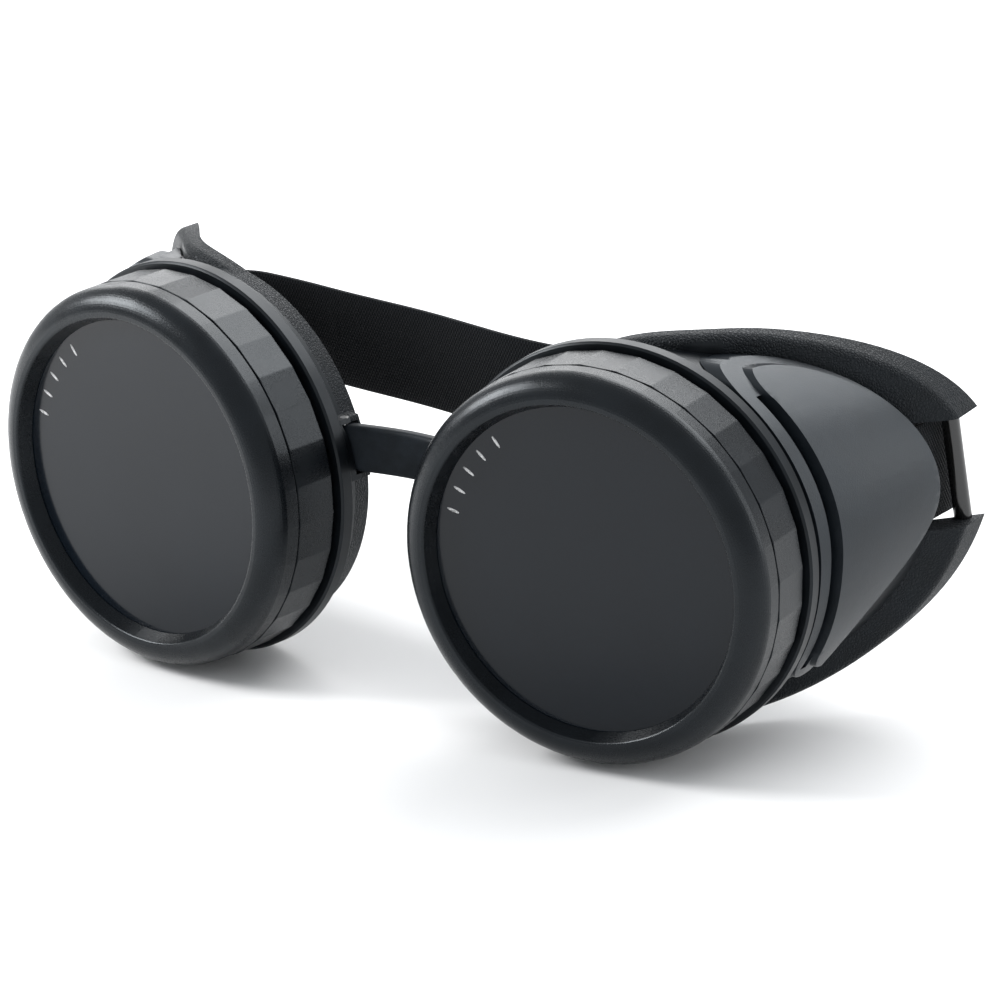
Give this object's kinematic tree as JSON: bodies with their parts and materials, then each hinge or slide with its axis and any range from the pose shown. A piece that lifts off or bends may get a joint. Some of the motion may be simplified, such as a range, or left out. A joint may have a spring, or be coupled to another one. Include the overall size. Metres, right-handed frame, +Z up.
{
  "type": "welding goggles",
  "caption": "Welding goggles with two round screw-ring eye cups, dark filter lenses, side vent covers, a soft nose bridge and an elastic head strap.",
  "frame": {"origin": "middle of the goggles' footprint, on the surface that the flanges and face lips stand on", "axes": "+X to the wearer's left, +Y towards the face, +Z up; x = 0 is midway between the lenses"},
  "size_m": [0.1374, 0.0608, 0.0566],
  "materials": {
    "cup_plastic": "moulded black plastic, semi-gloss, leather grain on the face lip",
    "ring_plastic": "moulded black plastic with a satin gloss",
    "cover_plastic": "smooth black moulded plastic, satin",
    "bar_steel": "steel wire with a black coating",
    "rivet_steel": "steel rivets with a black oxide finish",
    "pin_steel": "plain drawn steel wire",
    "washer_rubber": "flat black rubber",
    "filter_glass": "polished dark blue-green welding filter glass",
    "spacer_card": "thin black fibre washer",
    "clear_glass": "polished clear impact lens",
    "bridge_rubber": "soft black moulded rubber, satin",
    "strap_elastic": "black ribbed woven elastic webbing",
    "slider_plastic": "moulded black acetal slider"
  },
  "bodies": {
    "right_cup": {"right_eye_cup": "cup_plastic", "right_vent_cover": "cover_plastic", "right_strap_bar": "bar_steel", "right_strap_rivets": "rivet_steel", "right_bridge_pin": "pin_steel", "right_seal_washer": "washer_rubber", "nose_bridge": "bridge_rubber", "head_strap": "strap_elastic"},
    "left_cup": {"left_eye_cup": "cup_plastic", "left_vent_cover": "cover_plastic", "left_strap_bar": "bar_steel", "left_strap_rivets": "rivet_steel", "left_bridge_pin": "pin_steel", "left_seal_washer": "washer_rubber", "strap_tail": "strap_elastic", "strap_slider": "slider_plastic"},
    "right_lens_pack": {"right_filter_lens": "filter_glass", "right_lens_spacer": "spacer_card", "right_clear_lens": "clear_glass"},
    "left_lens_pack": {"left_filter_lens": "filter_glass", "left_lens_spacer": "spacer_card", "left_clear_lens": "clear_glass"},
    "right_ring": {"right_retaining_ring": "ring_plastic"},
    "left_ring": {"left_retaining_ring": "ring_plastic"}
  },
  "joints": [
    {"name": "bridge_flex", "type": "hinge", "parent": "right_cup", "child": "left_cup", "pos_m": [0, -0.01244, 0.03405], "axis": [0, 0, 1], "range_deg": [-35, 25], "deforming": ["nose_bridge", "head_strap", "strap_tail"]},
    {"name": "left_lens_pack_slide", "type": "slide", "parent": "left_cup", "child": "left_lens_pack", "axis": [0.1125, -0.9937, 0], "range_m": [0, 0.004]},
    {"name": "left_ring_screw", "type": "hinge", "parent": "left_lens_pack", "child": "left_ring", "pos_m": [0.03771, -0.02466, 0.0283], "axis": [0.1125, -0.9937, 0], "range_deg": [0, 720]},
    {"name": "right_lens_pack_slide", "type": "slide", "parent": "right_cup", "child": "right_lens_pack", "axis": [-0.1125, -0.9937, 0], "range_m": [0, 0.004]},
    {"name": "right_ring_screw", "type": "hinge", "parent": "right_lens_pack", "child": "right_ring", "pos_m": [-0.03771, -0.02466, 0.0283], "axis": [-0.1125, -0.9937, 0], "range_deg": [0, 720]}
  ],
  "couplings": [
    {"joint": "left_lens_pack_slide", "follows": "left_ring_screw", "m_per_rad": 0.00031831},
    {"joint": "right_lens_pack_slide", "follows": "right_ring_screw", "m_per_rad": 0.00031831}
  ]
}
